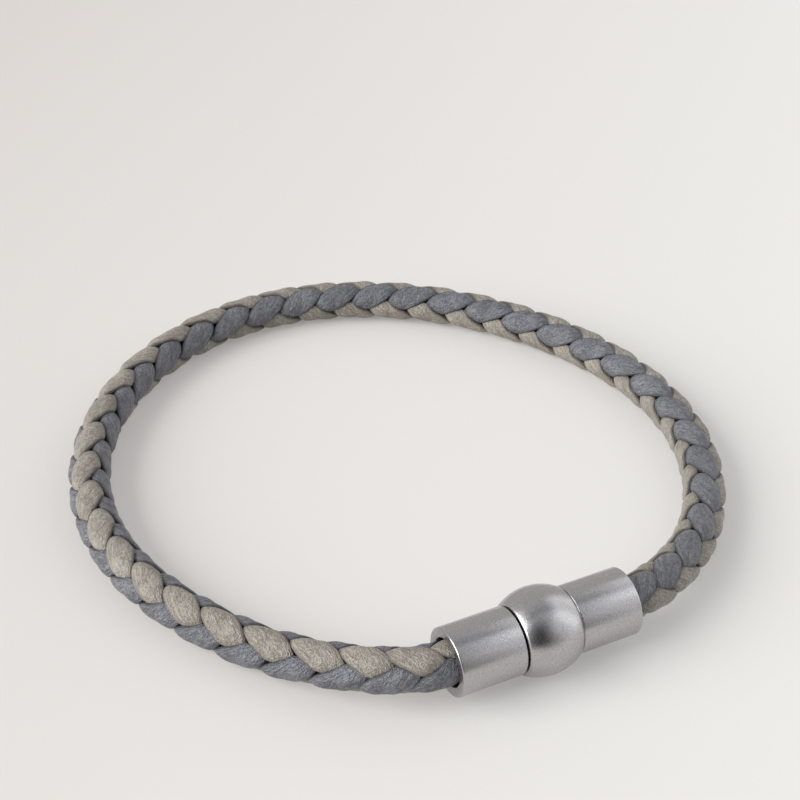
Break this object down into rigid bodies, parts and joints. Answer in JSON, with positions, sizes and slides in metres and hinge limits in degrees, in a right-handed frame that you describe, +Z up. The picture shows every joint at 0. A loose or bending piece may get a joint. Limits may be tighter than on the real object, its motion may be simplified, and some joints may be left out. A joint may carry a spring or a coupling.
{
  "type": "woven leather bracelet",
  "caption": "Round-braided leather bracelet in taupe and slate grey, closed by a tube-shaped steel clasp with a ball-shaped collar.",
  "frame": {"origin": "middle of the closed bracelet, on the surface that it lies on", "axes": "+Z up, +X along the clasp towards its ball-shaped collar's cup, +Y across the loop away from the clasp"},
  "size_m": [0.0716, 0.0771, 0.009],
  "materials": {
    "taupe_leather": "soft, matt grain leather, dyed taupe",
    "grey_leather": "soft, matt grain leather, dyed slate grey",
    "satin_steel": "stainless steel, satin brushed round the clasp",
    "plug_steel": "plain turned steel, hidden inside the clasp"
  },
  "bodies": {
    "root": {"taupe_strand_1": "taupe_leather", "taupe_strand_2": "taupe_leather", "grey_strand_1": "grey_leather", "grey_strand_2": "grey_leather", "left_cup": "satin_steel", "ball_cup": "satin_steel", "locking_plug": "plug_steel"}
  },
  "joints": []
}
